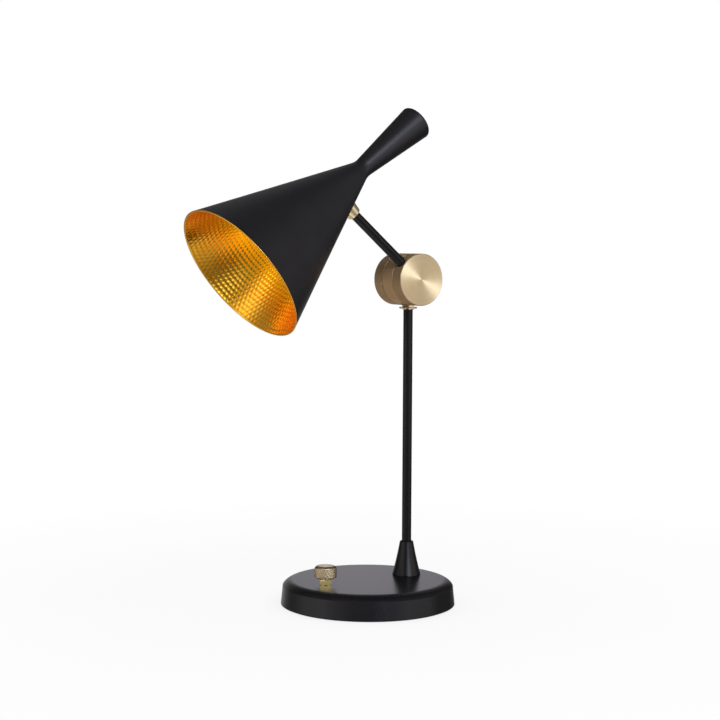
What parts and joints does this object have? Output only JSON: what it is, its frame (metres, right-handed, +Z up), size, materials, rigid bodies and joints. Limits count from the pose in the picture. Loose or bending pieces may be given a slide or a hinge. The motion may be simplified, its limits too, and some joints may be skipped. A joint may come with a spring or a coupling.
{
  "type": "adjustable desk lamp",
  "caption": "Desk lamp with a round weighted base, straight pole, disc knuckle, short arm and hourglass shade; arm tilts, shade swivels, knob dims.",
  "frame": {"origin": "centre of the pad's underside, on the table", "axes": "+Z up; the pole and arm lie in the XZ plane, the shade reaches towards -X, the arm is on the -Y side"},
  "size_m": [0.3042, 0.1856, 0.5197],
  "materials": {
    "black_coat": "satin powder coat",
    "brass": "turned and brushed",
    "gold_liner": "hammered and polished",
    "cast_iron": "rough casting",
    "zinc_steel": "zinc plated",
    "bulb_metal": "plain",
    "pad_rubber": "matte",
    "black_plastic": "matte",
    "white_plastic": "matte",
    "cable": "smooth",
    "fibre": "pressed fibre",
    "frosted_glass": "frosted"
  },
  "bodies": {
    "stand": {"base_cover": "black_coat", "cord_gland": "black_plastic", "base_pad": "pad_rubber", "base_weight": "cast_iron", "base_plate": "zinc_steel", "base_screws": "zinc_steel", "cover_bosses": "zinc_steel", "terminal_block": "white_plastic", "base_wires": "cable", "pole_wire": "cable", "dimmer_housing": "black_plastic", "dimmer_bushing": "brass", "dimmer_nut": "brass", "pole": "black_coat", "pole_collar": "black_coat", "pole_washer": "zinc_steel", "pole_nut": "zinc_steel", "head_nut": "brass", "head_ring": "brass", "pivot_hub": "brass", "friction_washer": "fibre", "thrust_washer": "fibre"},
    "dimmer": {"dimmer_shaft": "zinc_steel", "dimmer_knob": "brass", "knob_screw": "zinc_steel"},
    "clamp": {"clamp_knob": "brass", "clamp_screw": "zinc_steel", "spring_washer": "zinc_steel"},
    "arm": {"arm_hub": "brass", "arm_screw": "zinc_steel", "arm_tube": "black_coat", "arm_ring": "zinc_steel", "arm_wire": "cable"},
    "shade": {"shade_shell": "black_coat", "shade_liner": "gold_liner", "swivel_bush": "brass", "saddle_washer": "zinc_steel", "swivel_nut": "zinc_steel", "neck_cap": "black_coat", "shade_bridge": "zinc_steel", "bridge_nut": "zinc_steel", "tie_tube": "zinc_steel", "lampholder": "black_plastic", "socket_thread": "brass", "socket_contact": "brass", "bulb_cap": "bulb_metal", "bulb_glass": "frosted_glass"}
  },
  "joints": [
    {"name": "arm_tilt", "type": "hinge", "parent": "stand", "child": "arm", "pos_m": [0.0499, -0.0171, 0.3415], "axis": [0, 1, 0], "range_deg": [-55, 50]},
    {"name": "shade_swivel", "type": "hinge", "parent": "arm", "child": "shade", "pos_m": [-0.03845, -0.0171, 0.41511], "axis": [-0.7683, 0, 0.6401], "range_deg": [-90, 90]},
    {"name": "clamp_turn", "type": "hinge", "parent": "stand", "child": "clamp", "pos_m": [0.0499, 0.017, 0.3415], "axis": [0, 1, 0], "range_deg": [0, 180]},
    {"name": "dimmer_turn", "type": "hinge", "parent": "stand", "child": "dimmer", "pos_m": [-0.053, 0, 0.04], "axis": [0, 0, 1], "range_deg": [-270, 0]}
  ]
}
